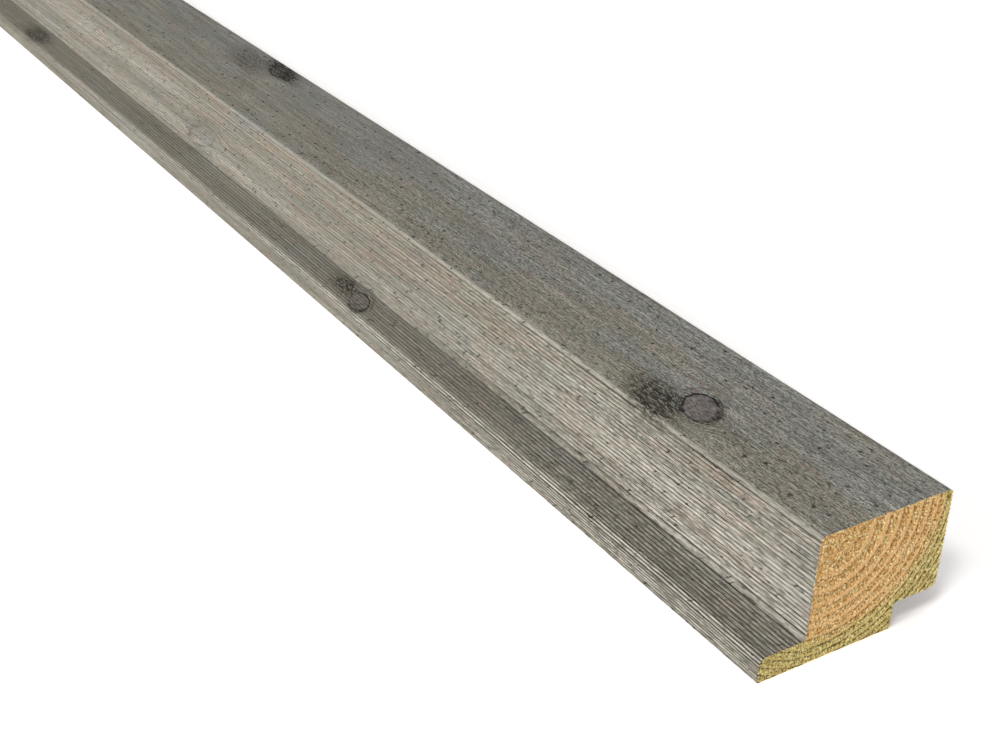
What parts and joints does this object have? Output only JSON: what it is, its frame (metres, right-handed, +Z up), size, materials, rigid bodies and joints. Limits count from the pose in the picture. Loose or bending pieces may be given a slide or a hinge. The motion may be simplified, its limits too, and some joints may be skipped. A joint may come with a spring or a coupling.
{
  "type": "profiled wood slat",
  "caption": "Long softwood slat with a thick ribbed block, a thin tongue along one foot and a rebate under the other side that laps the next slat's tongue.",
  "frame": {"origin": "on the floor plane, under the middle of the slat's length and overall width", "axes": "+X along the length, towards the end that the picture shows; +Y across the width, from the tongue to the rebated side; +Z up, from the flat back to the face"},
  "size_m": [1.8, 0.07, 0.045],
  "materials": {
    "stained_softwood": "finely ribbed grey stain over pressure-treated pine, bare at the sawn ends"
  },
  "bodies": {
    "root": {"slat": "stained_softwood"}
  },
  "joints": []
}
